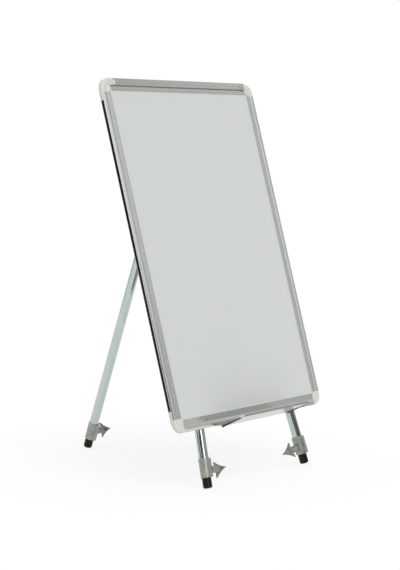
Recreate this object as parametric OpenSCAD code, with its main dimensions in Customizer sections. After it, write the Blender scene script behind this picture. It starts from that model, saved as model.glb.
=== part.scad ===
// Portrait whiteboard on a folding three-legged stand.
// The aluminium frame, its corner pieces and the paper clamp make the board.
// Two splayed front legs run up the back of the frame, and the rear leg hinges
// on a cross tube between them. Each leg is a tube sliding in a tube, held by
// a clamp collar with a three-pointed knob.
// Millimetres, +X along the board, +Y to the back, +Z up, floor at z = 0.

/* [Board] */
// Width of the board over its frame
board_w = 700; // [600:10:900]
// Height of the board over its frame
board_h = 1000; // [700:10:1200]
// Angle that the board leans back from upright
lean = 16.5; // [10:0.5:22]
// Height of the board's bottom edge above the floor, legs pushed in
board_clear = 166; // [150:1:260]
// Thickness of the writing sheet
sheet_t = 0.6; // [0.4:0.1:1.2]
// Thickness of the board's core
core_t = 7.2; // [7:0.1:12]
// Thickness of the sheet on the back
back_t = 0.6; // [0.4:0.1:1.2]
// How far the board reaches into the frame
panel_lap = 9; // [6:0.5:10]

/* [Frame] */
// Width of the frame's face
face_w = 34; // [32:0.5:44]
// Width of the ribbed inner band of the face
band_w = 16; // [13:0.5:18]
// How far the ribbed band falls back across its width
band_fall = 1.9; // [1:0.1:2.2]
// Number of ribs on the inner band
rib_count = 8; // [4:1:12]
// Height of each rib
rib_h = 0.1; // [0.05:0.05:0.4]
// Thickness of the lip over the writing sheet
lip_t = 2.4; // [2.2:0.1:3]
// Wall of the frame's extrusion
rail_wall = 1.4; // [1:0.1:1.8]
// Thickness of the frame behind the board's back
rear_wall = 2; // [2:0.1:4]
// Width of the channel round the frame's edge
channel_w = 8.4; // [5:0.1:8.4]
// Depth of that channel
channel_d = 4.5; // [3:0.1:5.5]
// How far the black edge strip lies below the channel's mouth
strip_sink = 0.8; // [0.3:0.1:2]
// Length of each corner piece along the rails past the inner corner
corner_reach = 5; // [3:0.5:12]
// Length of each corner piece's spigot inside a rail
spigot_l = 28; // [15:1:50]
// Length of each corner piece's tab in the edge channel
tab_l = 24; // [12:1:40]

/* [Paper clamp] */
// Height of the fixed band below the clamp bar
clamp_band = 10; // [8:0.5:12]
// Gap between that band and the bar
clamp_gap = 5; // [3:0.5:6]
// Height of the clamp bar above the gap
clamp_h = 20.5; // [19:0.5:26]
// Wall of the clamp bar
clamp_wall = 1.5; // [1:0.1:2]
// Length of the plastic end pieces of the bar
clamp_end_l = 15; // [12:1:40]
// Radius of the bar's pivot pins
clamp_pin_r = 1.2; // [1:0.1:1.4]
// Thickness of the rubber grip under the bar
grip_t = 1.2; // [0.6:0.1:1.6]

/* [Marker tray] */
// Length of the tray between its end plates
tray_l = 312; // [200:4:400]
// How far the tray reaches in front of the frame
tray_reach = 92; // [50:1:110]
// Drop of the tray's rear edge below the frame
tray_drop = 5.5; // [4:0.5:20]
// Distance of the tray's rear edge in front of the frame
tray_rear = 7; // [2:0.5:12]
// Height of the front lip's fold above the frame's bottom edge
tray_rise = 7.5; // [0:0.5:20]
// Height of the front lip
tray_lip = 6; // [3:0.5:15]
// Wall of the tray
tray_wall = 1.8; // [1.2:0.1:3]
// Thickness of the tray's end plates
tray_end_t = 2.5; // [1.5:0.1:5]

/* [Legs] */
// Distance in from the board's side to each front foot at the floor
leg_inset = 116; // [80:1:120]
// Angle by which each front leg splays outwards
splay = 6.2; // [2:0.1:8]
// Angle of the rear leg from upright
rear_tilt = 18.6; // [12:0.1:26]
// Outer radius of the outer tubes
tube_r = 14; // [12:0.5:16]
// Wall of all leg tubes
tube_wall = 1.2; // [1:0.1:2]
// Gap between an inner tube and its outer tube, on the radius
slide_gap = 0.1; // [0.05:0.05:0.3]
// Length of the inner tubes above the feet
inner_l = 880; // [500:10:900]
// Gap between the frame's back and the front tubes
tube_stand = 0.7; // [0.5:0.1:4]
// Distance from the board's top edge down to the cross tube
cross_down = 84; // [70:1:200]
// Outer radius of the cross tube
cross_r = 12.5; // [9:0.5:13]

/* [Clamp collars and knobs] */
// Wall of a clamp collar round the outer tube
collar_wall = 1.5; // [1.5:0.1:5]
// Height of a clamp collar
collar_h = 54; // [40:1:80]
// Height of the clamp screw above the collar's lower end
screw_h = 22; // [14:1:24]
// Length of outer tube seated in the collar
seat_l = 24; // [15:1:30]
// Distance from the leg's axis to the knob's blade
knob_out = 56; // [45:0.5:80]
// Distance from the knob's centre to each point
knob_tip = 26; // [22:1:40]
// Distance from the knob's centre to the middle of each hollow side
knob_side = 10.5; // [7.5:0.1:11.5]
// Thickness of the knob's blade
knob_t = 5.5; // [3:0.5:10]
// Radius of the knob's hub
hub_r = 10.4; // [9:0.1:11]
// Radius of the clamp screw
screw_r = 4; // [3:0.5:5]

/* [Feet] */
// Radius of a rubber foot
foot_r = 13; // [11:0.5:16]
// Height of a rubber foot below its tube
foot_l = 29; // [15:1:50]
// Rounding of a foot's sole
sole_round = 5; // [2:0.5:8]
// Depth of the flat that rests on the floor
sole_flat = 0.8; // [0.3:0.1:1.2]

/* [Hidden] */
$fn = 48;

// Small amounts: a gap between pieces that move, and a cut's overrun
gap = 0.3;
over = 1;
run_fit = 0.05;

// The board's own frame: y runs back from the frame's front plane
inner_w = board_w - 2 * face_w;
inner_h = board_h - 2 * face_w;
half_in = inner_w / 2;
panel_w = inner_w + 2 * panel_lap;
panel_h = inner_h + 2 * panel_lap;
panel_back = lip_t + sheet_t + core_t + back_t;
frame_d = panel_back + rear_wall;
pocket_gap = 0.3;

// The frame's face: a groove parts the ribbed band from an outer band with a soft ridge
groove_w = 0.9;
groove_d = 0.6;
band_crown = 1.9;
crown_power = 1.25;
edge_round = 1;
channel_front = band_fall + edge_round;
channel_back = channel_front + channel_w;
chamber_in = panel_lap + pocket_gap + rail_wall;
chamber_out = face_w - channel_d - rail_wall;
chamber_front = channel_front + 0.4;
chamber_back = frame_d - rail_wall;

// The paper clamp's recess and pivot, measured out from the inner edge
recess_floor = 7;
pivot_out = clamp_band + clamp_gap + 14;
pivot_back = 4.3;
clamp_low = clamp_band + clamp_gap;
clamp_top = clamp_low + clamp_h;
bar_half = half_in - corner_reach - gap - clamp_end_l;
pin_seat = 4;
floor_wall = 1.2;

// Legs in the board's own frame
foot_x = board_w / 2 - leg_inset;
leg_back = frame_d + tube_stand + tube_r;
inner_r = tube_r - tube_wall - slide_gap;
front_tilt = acos(cos(lean) * cos(splay));
function sole_z(tilt) = (foot_r - sole_round) * sin(tilt) + sole_round - sole_flat - sole_round * cos(tilt);
leg_u = (sole_z(front_tilt) - board_clear + leg_back * sin(lean)) / cos(lean);
tube_low = foot_l + gap + collar_h - seat_l;
tube_end_gap = 4;
front_top = (board_h - tube_end_gap - leg_u) / cos(splay);
cross_u = board_h - cross_down;
cross_half = foot_x - (cross_u - leg_u) * tan(splay);

// The rear leg's pivot, seen from the board's bottom edge, and its length
pivot_y = cross_u * sin(lean) + leg_back * cos(lean);
pivot_z = board_clear + cross_u * cos(lean) - leg_back * sin(lean);
rear_l = (pivot_z - sole_z(rear_tilt)) / cos(rear_tilt);
rear_foot_y = pivot_y + rear_l * sin(rear_tilt);
head_r = cross_r + 4;
rear_top = rear_l - cross_r - 4.5;

// The origin is under the middle of the whole stand
front_reach = tray_rise * sin(lean) - tray_reach * cos(lean);
rear_reach = rear_foot_y - sole_round * sin(rear_tilt)
    + (foot_r - sole_round) * cos(rear_tilt) + sole_round;
board_y = -(front_reach + rear_reach) / 2;

plastic_white = [0.78, 0.79, 0.75];
plastic_grey = [0.55, 0.56, 0.53];
alu = [0.70, 0.70, 0.68];
chrome = [0.80, 0.83, 0.83];
steel = [0.62, 0.63, 0.64];
black = [0.08, 0.08, 0.08];

// Frames of reference

module on_board() {
    translate([0, board_y, board_clear]) rotate([-lean, 0, 0]) children();
}

// z runs up a front leg from the middle of its sole, x towards the other leg
module on_front_leg(side) {
    on_board() on_leg_plane(side) mirror([side > 0 ? 1 : 0, 0, 0]) children();
}

module on_leg_plane(side) {
    translate([side * foot_x, leg_back, leg_u]) rotate([0, -side * splay, 0]) children();
}

module on_rear_leg() {
    translate([0, board_y + rear_foot_y, sole_z(rear_tilt)]) rotate([rear_tilt, 0, 0]) children();
}

module both_sides() {
    children();
    mirror([1, 0, 0]) children();
}

module along_x(from, to) {
    translate([from, 0, 0]) rotate([0, 90, 0]) linear_extrude(to - from) children();
}

module along_y(from, to) {
    translate([0, to, 0]) rotate([90, 0, 0]) linear_extrude(to - from) children();
}

module rounded(w, h, r) {
    translate([r, 0]) square([w - 2 * r, h]);
    translate([0, r]) square([w, h - 2 * r]);
    for (x = [r, w - r], y = [r, h - r]) translate([x, y]) circle(r);
}

module ring(outer, inner) {
    difference() {
        circle(outer);
        circle(inner);
    }
}

// The frame's section: x runs out from the inner edge, y runs back

function rib_points() = [for (i = [0:rib_count - 1])
    let (pitch = band_w / rib_count, fall = band_fall / rib_count)
    each [[i * pitch, i * fall + rib_h], [(i + 0.5) * pitch, (i + 0.5) * fall],
        [(i + 1) * pitch - 0.02, (i + 1) * fall + rib_h]]];

function groove_points() = [[band_w + 0.2, band_fall + groove_d],
    [band_w + groove_w - 0.2, band_fall + groove_d]];

function crown_points() = [for (i = [0:8])
    let (from = band_w + groove_w, to = face_w - edge_round, t = i / 8)
    [from + t * (to - from), band_fall - band_crown * (1 - pow(abs(2 * t - 1), crown_power))]];

function edge_points() = [for (a = [75:-15:0])
    [face_w - edge_round + edge_round * cos(a), band_fall + edge_round - edge_round * sin(a)]];

function face_points() = concat(groove_points(), crown_points(), edge_points());

function smooth_points() = [[0, 0], [band_w, band_fall]];

module solid_section(band) {
    difference() {
        polygon(concat(band, face_points(), [[face_w, frame_d - 0.6], [face_w - 0.6, frame_d], [0, frame_d]]));
        translate([-over, lip_t]) square([panel_lap + pocket_gap + over, panel_back - lip_t]);
        translate([-over, panel_back - over]) square([3 + over, rear_wall + 2 * over]);
    }
}

module rail_section() {
    difference() {
        solid_section(rib_points());
        translate([face_w - channel_d, channel_front]) square([channel_d + over, channel_w]);
        translate([chamber_in, chamber_front])
            square([chamber_out - chamber_in, chamber_back - chamber_front]);
    }
}

module clamp_rail_section() {
    difference() {
        solid_section(rib_points());
        translate([clamp_band, -over]) square([face_w, recess_floor + over]);
        translate([chamber_in, recess_floor + floor_wall])
            square([face_w - rail_wall - chamber_in, chamber_back - recess_floor - floor_wall]);
    }
}

// The board itself

// Its layers have corners rounded to suit the corner pieces
module panel_layer(front, thick) {
    on_board() translate([-panel_w / 2, 0, face_w - panel_lap])
        along_y(front, front + thick) rounded(panel_w, panel_h, panel_lap);
}

module writing_sheet() {
    color([0.83, 0.85, 0.85]) panel_layer(lip_t, sheet_t);
}

module board_core() {
    color([0.62, 0.50, 0.36]) panel_layer(lip_t + sheet_t, core_t);
}

module back_sheet() {
    color([0.62, 0.63, 0.64]) panel_layer(lip_t + sheet_t + core_t, back_t);
}

// Rails of the frame

module upright_rail(side) {
    difference() {
        translate([side * half_in, 0, face_w + corner_reach])
            mirror([side < 0 ? 1 : 0, 0, 0])
                linear_extrude(inner_h - 2 * corner_reach) rail_section();
        corner_screw_places() screw_hole();
    }
}

module level_rail() {
    rotate([0, 90, 0]) linear_extrude(inner_w - 2 * corner_reach, center = true) children();
}

module rail_left() {
    color(alu) on_board() upright_rail(-1);
}

module rail_right() {
    color(alu) on_board() upright_rail(1);
}

module rail_bottom() {
    color(alu) on_board() difference() {
        translate([0, 0, face_w]) level_rail() rail_section();
        corner_screw_places() screw_hole();
        for (side = [-1, 1]) saddle_screw_places(side, lower_saddle_z) screw_hole();
    }
}

module rail_top() {
    color(alu) on_board() difference() {
        translate([0, 0, board_h - face_w]) mirror([0, 0, 1]) level_rail() clamp_rail_section();
        corner_screw_places() screw_hole();
        for (side = [-1, 1]) saddle_screw_places(side, upper_saddle_z) screw_hole();
    }
}

// Corner pieces, drawn for the bottom right corner and mirrored

spigot_gap = 0.15;
spigot_screw = 16;

module spigot_block(front, back, inner, outer) {
    translate([inner + spigot_gap, front + spigot_gap, corner_reach - over])
        cube([outer - inner - 2 * spigot_gap, back - front - 2 * spigot_gap, spigot_l + over]);
}

module channel_tab() {
    mid = (channel_front + channel_back) / 2;
    tab_r = channel_w / 2 - 0.05;
    intersection() {
        translate([face_w - channel_d + 0.1, 0, 0]) rotate([0, 90, 0]) linear_extrude(channel_d - 0.1)
            union() {
                translate([-corner_reach - tab_l + tab_r, mid]) circle(tab_r);
                translate([-corner_reach - tab_l + tab_r, mid - tab_r])
                    square([tab_l - tab_r + over, 2 * tab_r]);
            }
        translate([0, 0, corner_reach - over]) cube([2 * face_w, 2 * frame_d, 2 * tab_l]);
    }
}

module upright_arm() {
    linear_extrude(corner_reach) solid_section(smooth_points());
    spigot_block(chamber_front, chamber_back, chamber_in, chamber_out);
    channel_tab();
}

module clamp_arm() {
    linear_extrude(corner_reach) solid_section(smooth_points());
    spigot_block(recess_floor + floor_wall, chamber_back, chamber_in, face_w - rail_wall);
}

// Turns an arm that runs up beside the board into one that runs along it
module lay_arm() {
    rotate([0, 90, 0]) mirror([0, 0, 1]) children();
}

module corner_piece(with_clamp) {
    difference() {
        union() {
            rotate([-90, 0, 0]) rotate_extrude(angle = 90) solid_section(smooth_points());
            upright_arm();
            lay_arm() if (with_clamp) clamp_arm(); else upright_arm();
        }
        if (with_clamp) translate([-corner_reach - over, pivot_back, -pivot_out])
            rotate([0, 90, 0]) cylinder(r = clamp_pin_r, h = pin_seat + over);
    }
}

module at_corner(side, top) {
    translate([side * half_in, 0, top ? board_h - face_w : face_w])
        mirror([side < 0 ? 1 : 0, 0, 0]) mirror([0, 0, top ? 1 : 0]) children();
}

module drilled_corner(side, top) {
    color(plastic_white) on_board() difference() {
        at_corner(side, top) corner_piece(top);
        corner_screw_places() screw_hole();
    }
}

module corner_top_left() {
    drilled_corner(-1, true);
}

module corner_top_right() {
    drilled_corner(1, true);
}

module corner_bottom_left() {
    drilled_corner(-1, false);
}

module corner_bottom_right() {
    drilled_corner(1, false);
}

// Edge strips in the frame's channel

module strip_bar(long) {
    translate([face_w - channel_d, channel_front, 0])
        cube([channel_d - strip_sink, channel_w, long]);
}

strip_l = inner_h - 2 * (corner_reach + tab_l) - 2 * gap;

module edge_strip_left() {
    color(black) on_board() translate([-half_in, 0, board_h / 2 - strip_l / 2])
        mirror([1, 0, 0]) strip_bar(strip_l);
}

module edge_strip_right() {
    color(black) on_board() translate([half_in, 0, board_h / 2 - strip_l / 2]) strip_bar(strip_l);
}

module edge_strips_bottom() {
    from = tray_l / 2 + tray_end_t + gap;
    to = half_in - corner_reach - tab_l - gap;
    color(black) on_board() both_sides()
        translate([from, 0, face_w]) rotate([0, 90, 0]) strip_bar(to - from);
}

// Small pan-head screws, driven from the back towards the front

small_screw_r = 1.6;
small_head_r = 3.2;
small_head_h = 1.6;
small_screw_l = 4.5;
drill_l = 20;

module small_screw(under_head) {
    rotate([-90, 0, 0]) {
        translate([0, 0, -small_screw_l]) cylinder(r = small_screw_r, h = small_screw_l + under_head);
        translate([0, 0, under_head]) difference() {
            cylinder(r1 = small_head_r, r2 = small_head_r - 0.8, h = small_head_h);
            translate([-2, -0.4, small_head_h - 0.7]) cube([4, 0.8, over]);
            translate([-0.4, -2, small_head_h - 0.7]) cube([0.8, 4, over]);
        }
    }
}

module screw_hole() {
    rotate([-90, 0, 0]) translate([0, 0, -small_screw_l - 0.5]) cylinder(r = small_screw_r, h = drill_l);
}

module corner_screw_places() {
    along = corner_reach + spigot_screw;
    across = (chamber_in + chamber_out) / 2;
    for (side = [-1, 1], top = [false, true]) at_corner(side, top) {
        translate([across, frame_d, along]) children();
        translate([-along, frame_d, -across]) children();
    }
}

module corner_screws() {
    color(steel) on_board() corner_screw_places() small_screw(0);
}

// Paper clamp, in section out from the inner edge of the top rail

module on_clamp() {
    on_board() translate([0, 0, board_h - face_w]) children();
}

// x runs out (up the board) and y runs back in these sections
module clamp_extrude(from, to) {
    along_x(from, to) mirror([1, 0]) children();
}

lip_back = recess_floor - gap - grip_t;
bar_front = 0.2;

function bar_outline() = concat(
    [[clamp_low, lip_back], [clamp_low, 1.6]],
    [for (a = [180:15:270]) [clamp_low + 1.4 + 1.4 * cos(a), bar_front + 1.4 + 1.4 * sin(a)]],
    [for (a = [270:15:360]) [clamp_top - 2.2 + 2.2 * cos(a), bar_front + 2.2 + 2.2 * sin(a)]],
    [[clamp_top, 2.9]]);

module clamp_bar_section() {
    difference() {
        polygon(concat(bar_outline(), [[clamp_top - clamp_wall, 2.9],
            [clamp_top - clamp_wall - 0.6, bar_front + clamp_wall],
            [clamp_low + clamp_wall + 0.4, bar_front + clamp_wall],
            [clamp_low + clamp_wall, bar_front + clamp_wall + 0.6], [clamp_low + clamp_wall, lip_back]]));
        for (i = [0:2]) translate([clamp_low + 7 + i * 2.4, bar_front - 0.3]) circle(0.5);
    }
}

module clamp_bar() {
    color(alu) on_clamp() clamp_extrude(-bar_half, bar_half) clamp_bar_section();
}

module clamp_end_section() {
    difference() {
        union() {
            polygon(concat(bar_outline(), [[clamp_top - 0.4, 3.1], [pivot_out + 1, lip_back],
                [clamp_low + 2, lip_back]]));
            translate([pivot_out, pivot_back]) circle(recess_floor - gap - pivot_back);
        }
        translate([pivot_out, pivot_back]) circle(clamp_pin_r + run_fit);
    }
}

// A round tongue on the end piece laps over the bar, and has an eye beside it
tongue_r = 7.5;
tongue_t = 0.8;
tongue_up = 8.5;
eye_r = 2.2;
eye_up = 4.5;
eye_in = 4;
eye_deep = 3;

module clamp_end() {
    difference() {
        union() {
            clamp_extrude(bar_half, bar_half + clamp_end_l) clamp_end_section();
            translate([bar_half, 0, clamp_low + tongue_up]) {
                along_y(bar_front - tongue_t, bar_front) circle(tongue_r);
                along_y(bar_front - tongue_t, bar_front + over) intersection() {
                    circle(tongue_r);
                    translate([0, -tongue_r]) square(2 * tongue_r);
                }
            }
        }
        translate([bar_half + eye_in, 0, clamp_low + eye_up])
            along_y(-2 * tongue_t, bar_front + eye_deep) circle(eye_r);
    }
}

module clamp_end_left() {
    color(plastic_white) on_clamp() mirror([1, 0, 0]) clamp_end();
}

module clamp_end_right() {
    color(plastic_white) on_clamp() clamp_end();
}

module clamp_grip() {
    color(black) on_clamp() clamp_extrude(-bar_half, bar_half)
        difference() {
            translate([clamp_low, lip_back]) square([3.6, grip_t]);
            for (i = [0:2]) translate([clamp_low + 0.6 + i * 1.2, lip_back + grip_t]) circle(0.3);
        }
}

module clamp_pins() {
    color(steel) on_clamp() both_sides()
        translate([half_in - corner_reach + pin_seat, pivot_back, pivot_out]) rotate([0, -90, 0])
            cylinder(r = clamp_pin_r, h = pin_seat + clamp_end_l + 14);
}

// A torsion spring coiled round each pin, with one straight leg on the recess

coil_wire = 0.4;
coil_r = clamp_pin_r + run_fit + coil_wire;
coil_turns = 4.5;
coil_pitch = 1.3;
coil_steps = 10;
coil_sides = 6;
leg_l = 5;

function coil_ring(turn) = [for (j = [0:coil_sides - 1])
    let (a = 360 * turn, w = 360 * j / coil_sides, r = coil_r + coil_wire * cos(w))
    [turn * coil_pitch + coil_wire * sin(w), r * cos(a), -r * sin(a)]];

module coil() {
    last = coil_turns * coil_steps;
    points = [for (i = [0:last]) each coil_ring(i / coil_steps)];
    skin = [for (i = [0:last - 1], j = [0:coil_sides - 1])
        let (a = i * coil_sides, b = a + coil_sides, k = (j + 1) % coil_sides)
        each [[a + j, b + j, b + k], [a + j, b + k, a + k]]];
    near = [for (j = [0:coil_sides - 1]) j];
    far = [for (j = [coil_sides - 1:-1:0]) last * coil_sides + j];
    polyhedron(points, concat(skin, [near, far]));
    leg_tilt = asin((recess_floor - pivot_back - coil_r - coil_wire) / leg_l);
    translate([0, coil_r, 0]) rotate([-leg_tilt, 0, 0]) cylinder(r = coil_wire, h = leg_l - 0.1, $fn = 24);
}

module clamp_springs() {
    color(steel) on_clamp() both_sides()
        translate([bar_half - 9, pivot_back, pivot_out]) coil();
}

// Marker tray, hooked into the channel under the bottom rail

tongue_gap = 0.2;

// Height of the trough's floor above the frame's bottom edge, x ahead of the frame
tray_slope = (tray_rise + tray_drop) / (tray_reach - tray_rear);
floor_up = tray_wall * sqrt(1 + tray_slope * tray_slope);
function floor_at(x) = -tray_drop + (x - tray_rear) * tray_slope + floor_up;

module tray_section() {
    front_in = tray_reach - tray_wall;
    flange_back = frame_d - gap;
    polygon([[-flange_back, 0], [-flange_back, -tray_wall], [0, -tray_wall], [tray_rear, -tray_drop],
        [tray_reach, tray_rise], [tray_reach, tray_rise + tray_lip],
        [front_in, tray_rise + tray_lip], [front_in, floor_at(front_in)],
        [tray_rear + tray_wall, floor_at(tray_rear + tray_wall)], [tray_wall, 0],
        [-channel_front - tongue_gap, 0], [-channel_front - tongue_gap, channel_d - gap],
        [-channel_back + tongue_gap, channel_d - gap], [-channel_back + tongue_gap, 0]]);
}

// x runs forwards and y runs up in the tray's sections
module tray_extrude(from, to) {
    along_x(from, to) rotate(90) mirror([0, 1]) rotate(180) children();
}

module marker_tray() {
    color([0.78, 0.78, 0.76]) on_board() tray_extrude(-tray_l / 2, tray_l / 2) tray_section();
}

// Each end plate is a wedge, deepest at the rear, and shows below the trough
end_up = 2.6;
end_down = 3;

module tray_end_section() {
    polygon([[tray_rear, -tray_drop - end_down], [tray_reach, tray_rise], [tray_reach, tray_rise + 2],
        [tray_rear, end_up - tray_drop]]);
}

module tray_end() {
    tray_extrude(tray_l / 2, tray_l / 2 + tray_end_t) tray_end_section();
}

module tray_end_left() {
    color([0.25, 0.25, 0.25]) on_board() mirror([1, 0, 0]) tray_end();
}

module tray_end_right() {
    color([0.25, 0.25, 0.25]) on_board() tray_end();
}

cap_l = 14;
cap_h = 7.5;
cap_w = 5;
cap_round = 2.5;

module tray_corner_caps() {
    color(plastic_white) on_board() both_sides() difference() {
        tray_extrude(tray_l / 2 - cap_w + tray_end_t, tray_l / 2 + tray_end_t + 1.5)
            translate([tray_reach - cap_l, tray_rise - 1]) rounded(cap_l, cap_h, cap_round);
        tray_extrude(tray_l / 2 - 2 * cap_w, tray_l / 2) tray_section();
        tray_extrude(tray_l / 2, tray_l / 2 + tray_end_t) tray_end_section();
    }
}

// Saddles that hold the front tubes to the frame's back

saddle_t = 2;
saddle_l = 22;
saddle_half = 30;
saddle_screw_x = 23;
lower_saddle_z = (face_w / 2 - leg_u) / cos(splay);
upper_saddle_z = (board_h - face_w / 2 - leg_u) / cos(splay);

module saddle_section() {
    difference() {
        union() {
            circle(tube_r + saddle_t);
            translate([-tube_r - saddle_t, -leg_back + frame_d]) square([2 * (tube_r + saddle_t), tube_r]);
            translate([-saddle_half, -leg_back + frame_d]) square([2 * saddle_half, saddle_t]);
        }
        circle(tube_r);
        translate([-tube_r, -2 * tube_r]) square([2 * tube_r, 2 * tube_r]);
        translate([-2 * tube_r, -leg_back + frame_d - 2 * tube_r]) square([4 * tube_r, 2 * tube_r]);
    }
}

module saddle(side, height) {
    on_leg_plane(side) difference() {
        translate([0, 0, height - saddle_l / 2]) linear_extrude(saddle_l) saddle_section();
        for (x = [-saddle_screw_x, saddle_screw_x])
            translate([x, -leg_back + frame_d - over, height]) rotate([-90, 0, 0])
                cylinder(r = small_screw_r + 0.2, h = saddle_t + 2 * over);
    }
}

module saddle_screw_places(side, height) {
    on_leg_plane(side) for (x = [-saddle_screw_x, saddle_screw_x])
        translate([x, -leg_back + frame_d, height]) children();
}

module lower_saddles() {
    color(steel) on_board() for (side = [-1, 1]) saddle(side, lower_saddle_z);
}

module upper_saddles() {
    color(steel) on_board() for (side = [-1, 1]) saddle(side, upper_saddle_z);
}

module saddle_screws() {
    color(steel) on_board() for (side = [-1, 1], height = [lower_saddle_z, upper_saddle_z])
        saddle_screw_places(side, height) small_screw(saddle_t);
}

// Leg tubes

module outer_tube(top) {
    translate([0, 0, tube_low]) linear_extrude(top - tube_low) ring(tube_r, tube_r - tube_wall);
}

module front_outer_tube_left() {
    color(chrome) on_front_leg(-1) outer_tube(front_top);
}

module front_outer_tube_right() {
    color(chrome) on_front_leg(1) outer_tube(front_top);
}

module rear_outer_tube() {
    color(chrome) on_rear_leg() difference() {
        outer_tube(rear_top);
        rivet_hole();
    }
}

module tube_caps() {
    color(black) for (side = [-1, 1]) on_front_leg(side) translate([0, 0, front_top]) {
        cylinder(r1 = tube_r, r2 = tube_r - 1, h = 2.5);
        translate([0, 0, -14]) linear_extrude(14.5) ring(tube_r - tube_wall, tube_r - tube_wall - 2);
    }
}

module inner_tube() {
    translate([0, 0, foot_l]) linear_extrude(inner_l) ring(inner_r, inner_r - tube_wall);
}

module inner_tube_front_left() {
    color(chrome) on_front_leg(-1) inner_tube();
}

module inner_tube_front_right() {
    color(chrome) on_front_leg(1) inner_tube();
}

module inner_tube_rear() {
    color(chrome) on_rear_leg() inner_tube();
}

// Plastic guide in the top of each inner tube
module guide() {
    translate([0, 0, foot_l + inner_l]) {
        linear_extrude(4) ring(inner_r + slide_gap - run_fit, 6);
        translate([0, 0, -18]) linear_extrude(18.5) ring(inner_r - tube_wall, 6);
    }
}

module guide_front_left() {
    color(black) on_front_leg(-1) guide();
}

module guide_front_right() {
    color(black) on_front_leg(1) guide();
}

module guide_rear() {
    color(black) on_rear_leg() guide();
}

// Rubber feet, plugged into the inner tubes

plug_l = 24;

module foot() {
    rotate_extrude() {
        translate([foot_r - sole_round, sole_round]) circle(sole_round);
        square([foot_r - sole_round, foot_l]);
        translate([0, sole_round]) square([foot_r, foot_l - sole_round]);
        translate([0, foot_l - over]) square([inner_r - tube_wall, plug_l + over]);
    }
}

below_floor = 50;

module cut_at_floor() {
    difference() {
        children();
        translate([-2 * board_w, -2 * board_h, -below_floor]) cube([4 * board_w, 4 * board_h, below_floor]);
    }
}

module foot_front_left() {
    color(black) cut_at_floor() on_front_leg(-1) foot();
}

module foot_front_right() {
    color(black) cut_at_floor() on_front_leg(1) foot();
}

module foot_rear() {
    color(black) cut_at_floor() on_rear_leg() foot();
}

// Clamp collars: the outer tube ends on a step inside, and the screw bears below it

screw_z = foot_l + gap + screw_h;
collar_r = tube_r + collar_wall;
collar_edge = 0.5;
pad_t = 1;
pad_w = 18;
boss_out = collar_r + 5;
boss_r = 8;
lug_out = 5.5;
lug_w = 10;
insert_r = 6;
insert_l = 6.5;

module on_screw() {
    translate([0, 0, screw_z]) rotate([0, 90, 0]) children();
}

module collar() {
    low = foot_l + gap;
    difference() {
        union() {
            translate([0, 0, low]) rotate_extrude() polygon([[0, 0], [collar_r - 2 * collar_edge, 0],
                [collar_r, 2 * collar_edge], [collar_r, collar_h - collar_edge],
                [collar_r - collar_edge, collar_h], [0, collar_h]]);
            translate([-lug_w / 2, -collar_r - lug_out, low + 1]) cube([lug_w, collar_r + lug_out, collar_h - 3]);
            translate([0, -pad_w / 2, low + 1]) cube([collar_r + pad_t, pad_w, collar_h - 3]);
            on_screw() cylinder(r = boss_r, h = boss_out);
        }
        translate([0, 0, low - over]) cylinder(r = inner_r + slide_gap, h = collar_h + 2 * over);
        translate([0, 0, tube_low]) cylinder(r = tube_r, h = collar_h);
        translate([0, 0, low + collar_h - collar_edge]) cylinder(r1 = tube_r, r2 = tube_r + over, h = over);
        on_screw() cylinder(r = screw_r + run_fit, h = boss_out + over);
        on_screw() translate([0, 0, boss_out - insert_l]) cylinder(r = insert_r, h = insert_l + over);
    }
}

module collar_front_left() {
    color(plastic_grey) on_front_leg(-1) collar();
}

module collar_front_right() {
    color(plastic_grey) on_front_leg(1) collar();
}

module collar_rear() {
    color(plastic_grey) on_rear_leg() collar();
}

module thread_insert() {
    on_screw() translate([0, 0, boss_out - insert_l]) linear_extrude(insert_l)
        ring(insert_r, screw_r + run_fit);
}

module thread_inserts_front() {
    color([0.72, 0.58, 0.30]) for (side = [-1, 1]) on_front_leg(side) thread_insert();
}

module thread_insert_rear() {
    color([0.72, 0.58, 0.30]) on_rear_leg() thread_insert();
}

// Three-pointed knob: each side is an arc that hollows the triangle between two points

stud_tip = inner_r + gap;
stud_in_knob = 24;
tip_blunt = 2;
hub_edge = 1;
hub_rim = 4;

module knob_blade(first_point) {
    corner = knob_tip + tip_blunt;
    half_chord = corner * cos(30);
    sagitta = corner / 2 - knob_side;
    arc_r = half_chord * half_chord / (2 * sagitta) + sagitta / 2;
    intersection() {
        difference() {
            rotate(first_point) circle(r = corner, $fn = 3);
            for (i = [0:2]) rotate(first_point + 60 + 120 * i) translate([knob_side + arc_r, 0])
                circle(r = arc_r, $fn = 96);
        }
        rotate(first_point + 60) circle(r = knob_tip);
    }
}

// Points of the knob are counted from straight up, turning towards the front
module knob(first_point) {
    on_screw() difference() {
        union() {
            translate([0, 0, knob_out]) linear_extrude(knob_t) rotate(180) knob_blade(first_point);
            translate([0, 0, boss_out + gap]) cylinder(r = hub_r, h = hub_rim);
            translate([0, 0, boss_out + gap + hub_rim]) cylinder(r1 = hub_r, r2 = hub_r - hub_edge,
                h = knob_out - boss_out - gap - hub_rim);
            translate([0, 0, knob_out]) cylinder(r = hub_r - hub_edge, h = knob_t + 1.5);
        }
        translate([0, 0, boss_out]) cylinder(r = screw_r, h = stud_in_knob);
    }
}

module stud() {
    on_screw() translate([0, 0, stud_tip]) cylinder(r = screw_r, h = boss_out + stud_in_knob - stud_tip);
}

module knob_front_left() {
    color(plastic_grey) on_front_leg(-1) knob(85);
}

module knob_front_right() {
    color(plastic_grey) on_front_leg(1) knob(17);
}

module knob_rear() {
    color(plastic_grey) on_rear_leg() knob(57);
}

module stud_front_left() {
    color(steel) on_front_leg(-1) stud();
}

module stud_front_right() {
    color(steel) on_front_leg(1) stud();
}

module stud_rear() {
    color(steel) on_rear_leg() stud();
}

// Cross tube between the front legs, held in a tee on each

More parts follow.
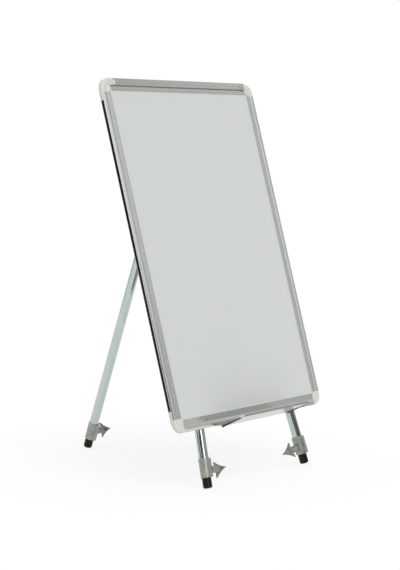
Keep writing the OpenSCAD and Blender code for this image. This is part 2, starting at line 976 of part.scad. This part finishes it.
stub_l = 26;
tee_r = cross_r + 4;
tee_l = 44;
cross_seat = cross_half - tube_r - 2;

module on_cross() {
    on_board() translate([0, leg_back, cross_u]) children();
}

module cross_tube() {
    color(chrome) on_cross() along_x(-cross_seat, cross_seat) ring(cross_r, cross_r - tube_wall);
}

module tee(side) {
    on_cross() difference() {
        union() {
            translate([side * cross_half, 0, 0]) rotate([0, -side * splay, 0])
                cylinder(r = tee_r, h = tee_l, center = true);
            mirror([side < 0 ? 1 : 0, 0, 0])
                along_x(cross_half - tee_r - stub_l, cross_half) circle(tee_r);
        }
        translate([side * cross_half, 0, 0]) rotate([0, -side * splay, 0])
            cylinder(r = tube_r, h = tee_l + 2 * over, center = true);
        along_x(-cross_seat, cross_seat) circle(cross_r);
    }
}

module tee_left() {
    color(black) tee(-1);
}

module tee_right() {
    color(black) tee(1);
}

head_half = 22;
ring_w = 10;

module hinge_rings() {
    color(black) on_cross() both_sides() difference() {
        along_x(head_half + gap, head_half + gap + ring_w) ring(head_r, cross_r);
        translate([head_half + gap + ring_w / 2, 0, 0]) rotate([-90, 0, 0]) cylinder(r = 2.5, h = head_r + over);
    }
}

// Grub screws in the rings, level with their rims
module set_screws() {
    color(steel) on_cross() both_sides()
        translate([head_half + gap + ring_w / 2, 0, 0]) rotate([-90, 0, 0]) difference() {
            translate([0, 0, cross_r]) cylinder(r = 2.5, h = head_r - cross_r);
            translate([0, 0, head_r - 2]) cylinder(r = 1.3, h = 3, $fn = 6);
        }
}

// Hinge head of the rear leg: a barrel on the cross tube, a socket for the leg
// and a nose above that meets the board's back when the leg is open

rivet_r = 2.5;
rivet_down = 40;
socket_l = 62;
nose_half = 12;
nose_up = 32;

module rivet_hole() {
    translate([0, 0, rear_l - rivet_down]) rotate([0, 90, 0])
        cylinder(r = rivet_r, h = 4 * head_r, center = true);
}

module hinge_head() {
    color(black) difference() {
        union() {
            on_rear_leg() translate([0, 0, rear_l]) {
                along_x(-head_half, head_half) circle(head_r);
                translate([0, 0, -socket_l]) cylinder(r = head_r, h = socket_l);
            }
            on_cross() translate([-nose_half, gap - leg_back + panel_back, 0]) cube([2 * nose_half, 9, nose_up]);
        }
        on_rear_leg() {
            translate([0, 0, rear_l]) along_x(-head_half - over, head_half + over) circle(cross_r + run_fit);
            translate([0, 0, rear_l - socket_l - over])
                cylinder(r = tube_r, h = rear_top - rear_l + socket_l + over);
            rivet();
        }
    }
}

module rivet() {
    translate([0, 0, rear_l - rivet_down]) rotate([0, 90, 0]) {
        cylinder(r = rivet_r, h = 2 * head_r, center = true);
        for (end = [0, 1]) mirror([0, 0, end]) translate([0, 0, head_r - 0.7])
            cylinder(r1 = 4.5, r2 = 3, h = 2.2);
    }
}

module head_rivet() {
    color(steel) on_rear_leg() rivet();
}

writing_sheet();
board_core();
back_sheet();
rail_left();
rail_right();
rail_top();
rail_bottom();
corner_top_left();
corner_top_right();
corner_bottom_left();
corner_bottom_right();
edge_strip_left();
edge_strip_right();
edge_strips_bottom();
corner_screws();
clamp_bar();
clamp_end_left();
clamp_end_right();
clamp_grip();
clamp_pins();
clamp_springs();
marker_tray();
tray_end_left();
tray_end_right();
tray_corner_caps();
lower_saddles();
upper_saddles();
saddle_screws();
front_outer_tube_left();
front_outer_tube_right();
tube_caps();
cross_tube();
tee_left();
tee_right();
hinge_rings();
set_screws();
hinge_head();
head_rivet();
rear_outer_tube();
collar_front_left();
collar_front_right();
collar_rear();
thread_inserts_front();
thread_insert_rear();
knob_front_left();
knob_front_right();
knob_rear();
stud_front_left();
stud_front_right();
stud_rear();
inner_tube_front_left();
inner_tube_front_right();
inner_tube_rear();
foot_front_left();
foot_front_right();
foot_rear();
guide_front_left();
guide_front_right();
guide_rear();
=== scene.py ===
# Portrait whiteboard on a folding three-legged stand: finishes, light and camera
import math

import bmesh
import bpy
from mathutils import Matrix, Vector

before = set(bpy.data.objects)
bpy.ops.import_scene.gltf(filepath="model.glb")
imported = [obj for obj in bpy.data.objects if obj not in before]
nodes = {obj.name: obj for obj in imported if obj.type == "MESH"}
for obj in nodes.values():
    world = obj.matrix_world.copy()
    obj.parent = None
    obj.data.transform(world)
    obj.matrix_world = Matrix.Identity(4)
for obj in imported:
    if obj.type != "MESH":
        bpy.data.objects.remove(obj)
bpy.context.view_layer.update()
print("frame loaded:", len(nodes), "nodes")

boardLean = math.radians(16.5)  # the board and its front legs lean back by this much
alongBoard = (boardLean, 0, 0)  # turns a pattern so that it lies along the board
cloudRange = (0.3, 0.7)  # noise seldom leaves this range, so colours and gloss change within it


# helpers for materials

def toLinear(r, g, b):
    # 0 to 255 screen values to the linear numbers a shader wants
    values = []
    for channel in (r, g, b):
        c = channel / 255
        values.append(c / 12.92 if c <= 0.04045 else ((c + 0.055) / 1.055) ** 2.4)
    return (*values, 1.0)


def newMaterial(name):
    material = bpy.data.materials.new(name)
    material.use_nodes = True
    tree = material.node_tree
    shader = tree.nodes["Principled BSDF"]
    return material, tree, shader


def objectSpace(tree, turn=(0, 0, 0), stretch=(1, 1, 1)):
    # object coordinates, turned to lie along a piece and stretched along its grain
    coordinates = tree.nodes.new("ShaderNodeTexCoord")
    turned = tree.nodes.new("ShaderNodeMapping")
    turned.inputs["Rotation"].default_value = turn
    stretched = tree.nodes.new("ShaderNodeMapping")
    stretched.inputs["Scale"].default_value = stretch
    tree.links.new(coordinates.outputs["Object"], turned.inputs["Vector"])
    tree.links.new(turned.outputs["Vector"], stretched.inputs["Vector"])
    return stretched.outputs["Vector"]


def noise(tree, vector, scale, detail=3, roughness=0.5):
    texture = tree.nodes.new("ShaderNodeTexNoise")
    texture.inputs["Scale"].default_value = scale
    texture.inputs["Detail"].default_value = detail
    texture.inputs["Roughness"].default_value = roughness
    tree.links.new(vector, texture.inputs["Vector"])
    return texture.outputs["Fac"]


def ramp(tree, factor, colorLow, colorHigh, reach=cloudRange):
    # a colour that goes from one value to the other as the factor passes through its range
    node = tree.nodes.new("ShaderNodeValToRGB")
    for element, position, color in zip(node.color_ramp.elements, reach, (colorLow, colorHigh)):
        element.position = position
        element.color = color
    tree.links.new(factor, node.inputs["Fac"])
    return node.outputs["Color"]


def span(tree, factor, reach, values):
    # a number that goes from one value to the other as the factor passes through its range
    node = tree.nodes.new("ShaderNodeMapRange")
    node.inputs["From Min"].default_value = reach[0]
    node.inputs["From Max"].default_value = reach[1]
    node.inputs["To Min"].default_value = values[0]
    node.inputs["To Max"].default_value = values[1]
    tree.links.new(factor, node.inputs["Value"])
    return node.outputs["Result"]


def bump(tree, shader, height, distance):
    node = tree.nodes.new("ShaderNodeBump")
    node.inputs["Strength"].default_value = 1.0
    node.inputs["Distance"].default_value = distance
    tree.links.new(height, node.inputs["Height"])
    tree.links.new(node.outputs["Normal"], shader.inputs["Normal"])


def dress(material, *names):
    # gives a CAD node its finish
    for name in names:
        data = nodes[name].data
        data.materials.clear()
        data.materials.append(material)


def sprinkle(tree, cloud, fine, share):
    # adds a share of a fine pattern to a broad one, about its middle
    shifted = tree.nodes.new("ShaderNodeMath")
    shifted.operation = "SUBTRACT"
    shifted.inputs[1].default_value = share / 2
    tree.links.new(cloud, shifted.inputs[0])
    total = tree.nodes.new("ShaderNodeMath")
    total.operation = "MULTIPLY_ADD"
    total.inputs[1].default_value = share
    tree.links.new(fine, total.inputs[0])
    tree.links.new(shifted.outputs["Value"], total.inputs[2])
    return total.outputs["Value"]


edgeWearAndLightMask = {"samples": 6, "match": (0.95, 0.75), "patchScale": 160, "strength": (0.15, 1.0)}


def edgeMask(tree, reach):
    # 1 along edges and 0 on open faces: where a rounded normal leaves the true one, broken up by noise
    rounded = tree.nodes.new("ShaderNodeBevel")
    rounded.samples = edgeWearAndLightMask["samples"]
    rounded.inputs["Radius"].default_value = reach
    geometry = tree.nodes.new("ShaderNodeNewGeometry")
    match = tree.nodes.new("ShaderNodeVectorMath")
    match.operation = "DOT_PRODUCT"
    tree.links.new(rounded.outputs["Normal"], match.inputs[0])
    tree.links.new(geometry.outputs["Normal"], match.inputs[1])
    patches = noise(tree, objectSpace(tree), edgeWearAndLightMask["patchScale"])
    broken = tree.nodes.new("ShaderNodeMath")
    broken.operation = "MULTIPLY"
    tree.links.new(span(tree, match.outputs["Value"], edgeWearAndLightMask["match"], (0, 1)), broken.inputs[0])
    tree.links.new(span(tree, patches, cloudRange, edgeWearAndLightMask["strength"]), broken.inputs[1])
    return broken.outputs["Value"]


def addEdgeWearAndLight(tree, color, edgeWearAndLight):
    # the colour with another one mixed in along the edges, standing for rubbed wear on some finishes, a
    # painted highlight on some and painted shade on others: edgeWearAndLight gives that colour and how far
    # it reaches
    mix = tree.nodes.new("ShaderNodeMixRGB")
    mix.inputs["Color2"].default_value = edgeWearAndLight[0]
    tree.links.new(edgeMask(tree, edgeWearAndLight[1]), mix.inputs["Fac"])
    tree.links.new(color, mix.inputs["Color1"])
    return mix.outputs["Color"]


def mottled(name, low, high, scale, gloss, metallic=0.0, specular=0.5, subsurface=0.0, grain=0.0,
            grainScale=900, speckle=0.0, speckleScale=450, edgeWearAndLight=None, turn=(0, 0, 0), stretch=(1, 1, 1)):
    # a finish whose colour and gloss wander a little; grain is the bump's height in metres, gloss the least
    # and most roughness, and speckle and an edge colour (rubbed wear, painted highlight or painted shade,
    # by finish) are added if asked
    material, tree, shader = newMaterial(name)
    cloud = noise(tree, objectSpace(tree, turn, stretch), scale, 5, 0.6)
    if speckle:
        cloud = sprinkle(tree, cloud, noise(tree, objectSpace(tree), speckleScale, 2, 0.7), speckle)
    tone = ramp(tree, cloud, low, high)
    if edgeWearAndLight:
        tone = addEdgeWearAndLight(tree, tone, edgeWearAndLight)
    tree.links.new(tone, shader.inputs["Base Color"])
    tree.links.new(span(tree, cloud, cloudRange, gloss), shader.inputs["Roughness"])
    shader.inputs["Metallic"].default_value = metallic
    shader.inputs["Specular IOR Level"].default_value = specular
    shader.inputs["Subsurface Weight"].default_value = subsurface
    shader.inputs["Subsurface Radius"].default_value = (0.004, 0.004, 0.003)
    shader.inputs["Subsurface Scale"].default_value = 1.0
    if grain:
        bump(tree, shader, noise(tree, objectSpace(tree), grainScale, 2, 0.5), grain)
    return material


# board

enamel = {"low": toLinear(206, 210, 209), "high": toLinear(209, 213, 212), "scale": 2.2,
          "gloss": (0.28, 0.31),
          "grain": 0.000008, "grainScale": 420, "turn": alongBoard, "stretch": (1, 1, 0.4)}
dress(mottled("drywipe enamel", **enamel), "writing_sheet")

fibreboard = {"low": toLinear(142, 116, 84), "high": toLinear(168, 140, 104), "scale": 60,
              "gloss": (0.8, 0.9), "grain": 0.0002}
dress(mottled("fibreboard", **fibreboard), "board_core")

galvanised = {"low": toLinear(158, 161, 163), "high": toLinear(186, 189, 191), "cells": 55,
              "gloss": (0.42, 0.55), "metallic": 0.55}


def makeGalvanised():
    # zinc spangle: flat crystals about two centimetres across, each a little lighter or darker
    material, tree, shader = newMaterial("galvanised back")
    cells = tree.nodes.new("ShaderNodeTexVoronoi")
    cells.inputs["Scale"].default_value = galvanised["cells"]
    tree.links.new(objectSpace(tree, alongBoard), cells.inputs["Vector"])
    separate = tree.nodes.new("ShaderNodeSeparateColor")
    tree.links.new(cells.outputs["Color"], separate.inputs["Color"])
    shade = separate.outputs["Red"]
    tone = ramp(tree, shade, galvanised["low"], galvanised["high"], (0.0, 1.0))
    tree.links.new(tone, shader.inputs["Base Color"])
    tree.links.new(span(tree, shade, cloudRange, galvanised["gloss"]), shader.inputs["Roughness"])
    shader.inputs["Metallic"].default_value = galvanised["metallic"]
    return material


dress(makeGalvanised(), "back_sheet")
print("board dressed")


# aluminium frame, clamp and tray

anodised = {"low": toLinear(206, 207, 203), "high": toLinear(216, 217, 213), "scale": 90,
            "gloss": (0.17, 0.24), "metallic": 0.95, "grain": 0.000006, "grainScale": 700,
            "edgeWearAndLight": (toLinear(226, 227, 224), 0.0006), "turn": alongBoard}
dieLinesUp = {"stretch": (1, 1, 0.01)}  # faint lines that the die leaves along the extrusion
dieLinesAcross = {"stretch": (0.01, 1, 1)}
dress(mottled("anodised rail up", **anodised, **dieLinesUp), "rail_left", "rail_right")
dress(mottled("anodised rail across", **anodised, **dieLinesAcross), "rail_top", "rail_bottom", "clamp_bar")

# the tray wears a darker copy of the rails' anodising: painted shade for the shaded floor its underside
# mirrors
anodisedTrayShaded = {**anodised, **dieLinesAcross, "low": toLinear(182, 183, 179),
                "high": toLinear(194, 195, 191)}
dress(mottled("anodised tray shaded darker", **anodisedTrayShaded), "marker_tray")

paleMould = {"low": toLinear(206, 207, 198), "high": toLinear(218, 219, 210), "scale": 70,
             "gloss": (0.3, 0.45),
             "grain": 0.00003, "subsurface": 0.12, "edgeWearAndLight": (toLinear(190, 190, 180), 0.0008)}
dress(mottled("pale moulding", **paleMould), "corner_top_left", "corner_top_right", "corner_bottom_left",
      "corner_bottom_right", "clamp_end_left", "tray_corner_caps")

# the right clamp end is given a grey finish where the left one is pale
greyMould = {"low": toLinear(158, 159, 155), "high": toLinear(170, 171, 166), "scale": 70,
             "gloss": (0.3, 0.45), "grain": 0.00003}
dress(mottled("grey moulding", **greyMould), "clamp_end_right")

# the strips in the side channels are near-black partly as a black insert and partly as painted shade inside
# the channel
blackStripAndChannelShade = {"low": toLinear(9, 9, 10), "high": toLinear(15, 15, 16), "scale": 40, "gloss": (0.3, 0.4),
              "grain": 0.00002, "specular": 0.15}
dress(mottled("black strip and channel shade", **blackStripAndChannelShade), "edge_strip_left", "edge_strip_right", "edge_strips_bottom")

gripRubber = {"low": toLinear(26, 26, 26), "high": toLinear(36, 36, 36), "scale": 60, "gloss": (0.6, 0.8),
              "grain": 0.00005}
dress(mottled("grip rubber", **gripRubber), "clamp_grip")

# the clamp pins are near-black as painted shade in the holes they sit in
pinBlackHoleShade = {"low": toLinear(18, 18, 19), "high": toLinear(34, 34, 35), "scale": 90, "gloss": (0.3, 0.45),
              "metallic": 0.5}
dress(mottled("blackened pins and hole shade", **pinBlackHoleShade), "clamp_pins")
print("frame, clamp and tray dressed")


# stand

chrome = {"low": toLinear(184, 195, 194), "high": toLinear(192, 202, 202), "scale": 30,
          "gloss": (0.05, 0.1), "metallic": 1.0}
dress(mottled("chrome plate", **chrome), "front_outer_tube_left", "front_outer_tube_right",
      "rear_outer_tube", "cross_tube", "inner_tube_front_left", "inner_tube_front_right", "inner_tube_rear")

# the lighter colour along the collars' edges is a painted highlight on their rims
collarCast = {"low": toLinear(144, 147, 139), "high": toLinear(173, 176, 168), "scale": 60,
              "gloss": (0.24, 0.36), "metallic": 0.5, "grain": 0.00004, "grainScale": 700, "speckle": 0.5,
              "edgeWearAndLight": (toLinear(208, 210, 205), 0.0012)}
dress(mottled("cast collar", **collarCast), "collar_front_left", "collar_front_right", "collar_rear")

# the darker colour along the knobs' edges is painted shade where their outlines turn away
knobMould = {"low": toLinear(126, 128, 123), "high": toLinear(154, 156, 150), "scale": 60,
             "gloss": (0.36, 0.5),
             "metallic": 0.2, "grain": 0.00004, "speckle": 0.6, "edgeWearAndLight": (toLinear(96, 98, 94), 0.001)}
dress(mottled("knob moulding", **knobMould), "knob_front_left", "knob_front_right", "knob_rear")

darkMould = {"low": toLinear(32, 33, 33), "high": toLinear(46, 47, 46), "scale": 50, "gloss": (0.45, 0.6),
             "specular": 0.35, "grain": 0.00004, "grainScale": 1200, "edgeWearAndLight": (toLinear(88, 89, 88), 0.0008)}
# the tray's end plates are dark partly as black end caps and partly as painted shade in the gap between
# tray and frame
dress(mottled("dark moulding", **darkMould), "tray_end_left", "tray_end_right", "tube_caps", "tee_left",
      "tee_right", "hinge_rings", "hinge_head", "guide_front_left", "guide_front_right", "guide_rear")

footRubber = {"low": toLinear(11, 11, 10), "high": toLinear(21, 21, 19), "scale": 45, "gloss": (0.24, 0.4),
              "specular": 0.22, "grain": 0.00008, "edgeWearAndLight": (toLinear(62, 62, 59), 0.001)}
dress(mottled("foot rubber", **footRubber), "foot_front_left", "foot_front_right", "foot_rear")

zinc = {"low": toLinear(168, 170, 172), "high": toLinear(196, 198, 200), "scale": 80, "gloss": (0.28, 0.4),
        "metallic": 0.85}
dress(mottled("zinc plate", **zinc), "corner_screws", "saddle_screws", "set_screws", "clamp_springs",
      "head_rivet", "lower_saddles", "upper_saddles", "stud_front_left", "stud_front_right", "stud_rear")

brass = {"low": toLinear(190, 156, 88), "high": toLinear(206, 172, 102), "scale": 80, "gloss": (0.25, 0.35),
         "metallic": 0.9}
dress(mottled("turned brass", **brass), "thread_inserts_front", "thread_insert_rear")
print("stand dressed")


# floor, light and camera

room = {"floorSize": 60, "floorGap": 0.0005, "floorLow": toLinear(247, 247, 247),
        "floorHigh": toLinear(249, 249, 249), "floorRoughness": 0.9, "floorSpecular": 0.1,
        "shown": 0.8, "shadowReach": (0.2, 0.8), "skyLight": 0.66}


def seenDirectly(tree):
    # 1 for what the camera sees, mirrored or through something clear too, and 0 for light on the object
    path = tree.nodes.new("ShaderNodeLightPath")
    first = tree.nodes.new("ShaderNodeMath")
    first.operation = "MAXIMUM"
    tree.links.new(path.outputs["Is Camera Ray"], first.inputs[0])
    tree.links.new(path.outputs["Is Glossy Ray"], first.inputs[1])
    second = tree.nodes.new("ShaderNodeMath")
    second.operation = "MAXIMUM"
    tree.links.new(first.outputs["Value"], second.inputs[0])
    tree.links.new(path.outputs["Is Transmission Ray"], second.inputs[1])
    return second.outputs["Value"]


def makeFloor():
    mesh = bpy.data.meshes.new("floor")
    bm = bmesh.new()
    bmesh.ops.create_grid(bm, x_segments=1, y_segments=1, size=room["floorSize"])
    bm.to_mesh(mesh)
    bm.free()
    floor = bpy.data.objects.new("floor", mesh)
    bpy.context.scene.collection.objects.link(floor)
    floor.location.z = -room["floorGap"]
    material, tree, shader = newMaterial("pale floor")
    vector = objectSpace(tree)
    tone = ramp(tree, noise(tree, vector, 3), room["floorLow"], room["floorHigh"])
    tree.links.new(tone, shader.inputs["Base Color"])
    shader.inputs["Roughness"].default_value = room["floorRoughness"]
    shader.inputs["Specular IOR Level"].default_value = room["floorSpecular"]
    white = tree.nodes.new("ShaderNodeEmission")
    white.inputs["Strength"].default_value = 1.0
    share = tree.nodes.new("ShaderNodeMath")
    share.operation = "MULTIPLY"
    # the floor is washed out to white where it is seen, wholly so away from the stand
    away = tree.nodes.new("ShaderNodeVectorMath")
    away.operation = "LENGTH"
    tree.links.new(vector, away.inputs[0])
    wash = span(tree, away.outputs["Value"], room["shadowReach"], (room["shown"], 1.0))
    tree.links.new(wash, share.inputs[1])
    tree.links.new(seenDirectly(tree), share.inputs[0])
    mix = tree.nodes.new("ShaderNodeMixShader")
    tree.links.new(share.outputs["Value"], mix.inputs["Fac"])
    tree.links.new(shader.outputs["BSDF"], mix.inputs[1])
    tree.links.new(white.outputs["Emission"], mix.inputs[2])
    tree.links.new(mix.outputs["Shader"], tree.nodes["Material Output"].inputs["Surface"])
    mesh.materials.append(material)


def makeSky():
    world = bpy.data.worlds.new("studio")
    bpy.context.scene.world = world
    world.use_nodes = True
    tree = world.node_tree
    background = tree.nodes["Background"]
    background.inputs["Color"].default_value = (1, 1, 1, 1)
    level = span(tree, seenDirectly(tree), (0.0, 1.0), (room["skyLight"], 1.0))
    tree.links.new(level, background.inputs["Strength"])


lamps = {
    "key": {"toward": (-0.35, -0.75, 0.8), "spread": 50, "strength": 1.05},
    "rim": {"toward": (0.7, 0.5, 0.9), "spread": 60, "strength": 0.15},
}


def makeLamps():
    for name, lamp in lamps.items():
        data = bpy.data.lights.new(name, "SUN")
        data.angle = math.radians(lamp["spread"])  # a wide soft source far away
        data.energy = lamp["strength"]
        light = bpy.data.objects.new(name, data)
        bpy.context.scene.collection.objects.link(light)
        light.rotation_euler = Vector(lamp["toward"]).to_track_quat("Z", "Y").to_euler()


# far walls that only reflections see, as chrome in a studio mirrors the darker parts of the room; their
# places and tones were matched to the reflections in the photograph: bearings are from the camera's side,
# turning to the picture's right, and heights are in metres
wallStage = {"away": 12, "nearer": 0.05, "steps": 48, "patchScale": 0.4}
walls = {
    "shadeRight": {"bearings": (88, 119), "heights": (2, 20), "tone": 214},
    "shadeFarRight": {"bearings": (119, 190), "heights": (2, 20), "tone": 192},
    "shadeRightHigh": {"bearings": (88, 105.5), "heights": (2.5, 20), "tone": 158},
    "shadeRightLow": {"bearings": (97, 140), "heights": (0, 2.1), "tone": 182},
    "wallFarLeft": {"bearings": (-102, -50), "heights": (0, 1.5), "tone": 45},
    "wallLeft": {"bearings": (-38, -8), "heights": (2.0, 4.7), "tone": 70},
    "wallMiddle": {"bearings": (-8, 12), "heights": (0, 1.1), "tone": 60},
    "wallMiddleHigh": {"bearings": (-14, 14), "heights": (3.9, 5.6), "tone": 50},
    "wallRight": {"bearings": (12, 53), "heights": (0.3, 3.1), "tone": 120},
    "wallDark": {"bearings": (53, 73), "heights": (1.0, 4.9), "tone": 40},
    "wallDarkEdge": {"bearings": (72, 80), "heights": (1.0, 2.5), "tone": 140},
    "wallDarkLow": {"bearings": (80, 98), "heights": (1.0, 2.75), "tone": 50},
}
floorShade = {"bearings": (92, 122), "reach": (0.9, 11), "height": 0.001, "tone": 190}  # on the floor

lens = {"place": (-3.8787, -3.1145, 0.9968), "azimuth": -51.969, "elevation": 5.365, "roll": 0.642,
        "length": 107.24, "sensor": 36, "seesTo": 100}


def reflectedOnly(name, edgePoints, bearings, tone):
    # sweeps an edge about the stand into a wall or a patch of floor of one tone
    material, tree, shader = newMaterial(name)
    tint = ramp(tree, noise(tree, objectSpace(tree), wallStage["patchScale"]), toLinear(tone, tone, tone),
                toLinear(tone + 6, tone + 7, tone + 6))
    shade = tree.nodes.new("ShaderNodeEmission")
    tree.links.new(tint, shade.inputs["Color"])
    tree.links.new(shade.outputs["Emission"], tree.nodes["Material Output"].inputs["Surface"])
    toCamera = math.atan2(lens["place"][1], lens["place"][0])
    start, stop = (toCamera + math.radians(b) for b in bearings)
    bm = bmesh.new()
    ends = [bm.verts.new((math.cos(start) * away, math.sin(start) * away, z)) for away, z in edgePoints]
    edge = bm.edges.new(ends)
    bmesh.ops.spin(bm, geom=ends + [edge], cent=(0, 0, 0), axis=(0, 0, 1), angle=stop - start,
                   steps=wallStage["steps"], use_merge=False)
    mesh = bpy.data.meshes.new(name)
    bm.to_mesh(mesh)
    bm.free()
    mesh.materials.append(material)
    piece = bpy.data.objects.new(name, mesh)
    bpy.context.scene.collection.objects.link(piece)
    piece.visible_camera = False
    piece.visible_diffuse = False
    piece.visible_shadow = False
    piece.visible_transmission = False


def makeWalls():
    for step, (name, wall) in enumerate(walls.items()):
        # each next wall stands a little nearer, so that none coincide
        away = wallStage["away"] - wallStage["nearer"] * step
        reflectedOnly(name, [(away, z) for z in wall["heights"]], wall["bearings"], wall["tone"])
    edge = [(away, floorShade["height"]) for away in floorShade["reach"]]
    reflectedOnly("floorShade", edge, floorShade["bearings"], floorShade["tone"])


def makeCamera():
    azimuth = math.radians(lens["azimuth"])
    elevation = math.radians(lens["elevation"])
    look = Vector((-math.sin(azimuth) * math.cos(elevation), math.cos(azimuth) * math.cos(elevation),
                   -math.sin(elevation)))
    right = look.cross(Vector((0, 0, 1))).normalized()
    up = right.cross(look)
    turn = Matrix.Rotation(-math.radians(lens["roll"]), 3, look)
    right.rotate(turn)
    up.rotate(turn)
    data = bpy.data.cameras.new("camera")
    data.lens = lens["length"]
    data.sensor_width = lens["sensor"]
    data.clip_end = lens["seesTo"]
    camera = bpy.data.objects.new("camera", data)
    bpy.context.scene.collection.objects.link(camera)
    camera.matrix_world = Matrix((
        (right.x, up.x, -look.x, lens["place"][0]),
        (right.y, up.y, -look.y, lens["place"][1]),
        (right.z, up.z, -look.z, lens["place"][2]),
        (0, 0, 0, 1)))
    bpy.context.scene.camera = camera


makeFloor()
makeSky()
makeLamps()
makeWalls()
makeCamera()
bpy.context.scene.view_settings.view_transform = "Standard"
print("floor, light and camera set")
